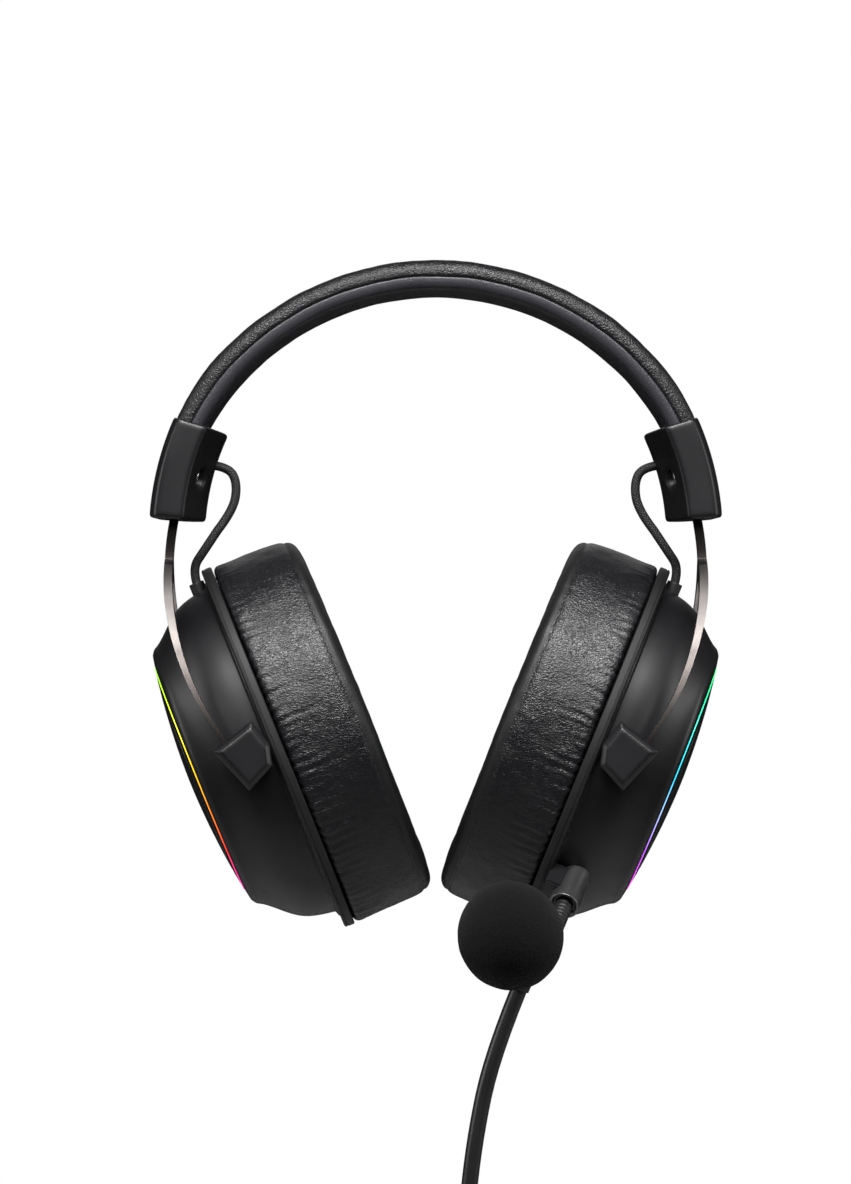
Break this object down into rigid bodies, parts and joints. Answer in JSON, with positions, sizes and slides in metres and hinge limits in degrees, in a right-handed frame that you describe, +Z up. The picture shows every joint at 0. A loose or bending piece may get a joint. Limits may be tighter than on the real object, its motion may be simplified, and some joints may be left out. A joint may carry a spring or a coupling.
{
  "type": "gaming headset",
  "caption": "Over-ear wired gaming headset: padded headband, sliding yokes, tilting lit ear cups with oval cushions, bendable boom microphone and USB cable",
  "frame": {"origin": "middle of the underside of the headband at the crown, where it rests on the head", "axes": "+Z up through the crown, -Y the way the wearer faces, -X the wearer's right, which is the left in a front view"},
  "size_m": [0.1614, 0.1852, 0.4406],
  "materials": {
    "leather_grain": "pebbled",
    "leather_smooth": "smooth matt",
    "cushion_leather": "creased",
    "foam": "open-cell foam",
    "mic_foam": "foam windscreen",
    "spring_steel": "blued",
    "frame_plastic": "satin",
    "shell_plastic": "satin gloss",
    "plate_plastic": "gloss",
    "yoke_metal": "black with bright cut edges",
    "steel": "machined",
    "bush": "plain",
    "light_left": "lit diffuser",
    "light_right": "lit diffuser",
    "board": "circuit board",
    "inner_plastic": "moulded",
    "diaphragm": "film",
    "ear_mesh": "speaker cloth",
    "link_braid": "braided sleeve",
    "rubber": "smooth",
    "mic_metal": "satin",
    "gooseneck": "ribbed",
    "controls": "moulded",
    "usb_steel": "plated"
  },
  "bodies": {
    "headband": {"headband_springs": "spring_steel", "headband_foam": "foam", "headband_cover": "leather_grain", "headband_pad": "leather_smooth", "slider_screws": "steel", "slider_housing_left": "frame_plastic", "slider_housing_right": "frame_plastic", "slider_cover_left": "frame_plastic", "slider_cover_right": "frame_plastic", "link_cable_upper_left": "link_braid", "link_cable_upper_right": "link_braid"},
    "yoke_left": {"yoke_left": "yoke_metal", "pivot_caps_left": "frame_plastic", "pivot_pins_left": "steel"},
    "yoke_right": {"yoke_right": "yoke_metal", "pivot_caps_right": "frame_plastic", "pivot_pins_right": "steel", "cable": "rubber", "cable_hank": "rubber", "cable_tie": "rubber", "usb_plug_body": "rubber", "usb_plug_shell": "usb_steel"},
    "cup_left": {"cup_shell_left": "shell_plastic", "outer_plate_left": "plate_plastic", "light_ring_left": "light_left", "led_board_left": "board", "baffle_left": "inner_plastic", "driver_frame_left": "inner_plastic", "driver_diaphragm_left": "diaphragm", "cushion_ring_left": "shell_plastic", "ear_cushion_left": "cushion_leather", "ear_mesh_left": "ear_mesh", "cable_grommet_left": "rubber", "pivot_bushes_left": "bush", "cup_screws_left": "steel", "link_cable_lower_left": "link_braid"},
    "cup_right": {"cup_shell_right": "shell_plastic", "outer_plate_right": "plate_plastic", "light_ring_right": "light_right", "led_board_right": "board", "baffle_right": "inner_plastic", "driver_frame_right": "inner_plastic", "driver_diaphragm_right": "diaphragm", "cushion_ring_right": "shell_plastic", "ear_cushion_right": "cushion_leather", "ear_mesh_right": "ear_mesh", "cable_grommet_right": "rubber", "pivot_bushes_right": "bush", "cup_screws_right": "steel", "link_cable_lower_right": "link_braid", "mic_socket": "frame_plastic", "main_board": "board", "strain_relief": "rubber"},
    "mic_arm": {"mic_ferrule": "mic_metal", "mic_gooseneck": "gooseneck"},
    "mic_head": {"mic_capsule": "mic_metal", "mic_foam": "mic_foam"},
    "volume_wheel": {"volume_wheel": "controls"},
    "mute_button": {"mute_button": "controls"}
  },
  "joints": [
    {"name": "slide_left", "type": "slide", "parent": "headband", "child": "yoke_left", "axis": [-0.1741, -0.0097, -0.9847], "range_m": [0, 0.02], "deforming": ["link_cable_upper_left"]},
    {"name": "slide_right", "type": "slide", "parent": "headband", "child": "yoke_right", "axis": [0.1741, -0.0097, -0.9847], "range_m": [0, 0.02], "deforming": ["link_cable_upper_right"]},
    {"name": "tilt_left", "type": "hinge", "parent": "yoke_left", "child": "cup_left", "pos_m": [-0.05211, 0.00127, -0.1315], "axis": [-0.0558, 0.9984, 0], "range_deg": [0, 25], "deforming": ["link_cable_lower_left"]},
    {"name": "tilt_right", "type": "hinge", "parent": "yoke_right", "child": "cup_right", "pos_m": [0.05211, 0.00127, -0.1315], "axis": [-0.0558, -0.9984, 0], "range_deg": [0, 25], "deforming": ["link_cable_lower_right", "cable"]},
    {"name": "mic_turn", "type": "hinge", "parent": "cup_right", "child": "mic_arm", "pos_m": [0.0349, -0.038, -0.1705], "axis": [-0.2648, -0.7993, -0.5395], "range_deg": [-45, 45]},
    {"name": "mic_bend", "type": "hinge", "parent": "mic_arm", "child": "mic_head", "pos_m": [0.02531, -0.07348, -0.1824], "axis": [-0.9771, 0.2127, 0], "range_deg": [-25, 25], "deforming": ["mic_gooseneck"]},
    {"name": "volume_turn", "type": "hinge", "parent": "cup_right", "child": "volume_wheel", "pos_m": [0.04938, 0.03334, -0.14801], "axis": [0.9257, -0.0518, -0.3746], "range_deg": [-140, 140]},
    {"name": "mute_press", "type": "slide", "parent": "cup_right", "child": "mute_button", "axis": [0.1866, -0.7992, 0.5714], "range_m": [0, 0.0008], "stiffness_N_per_m": 400, "springref_m": -0.002}
  ]
}
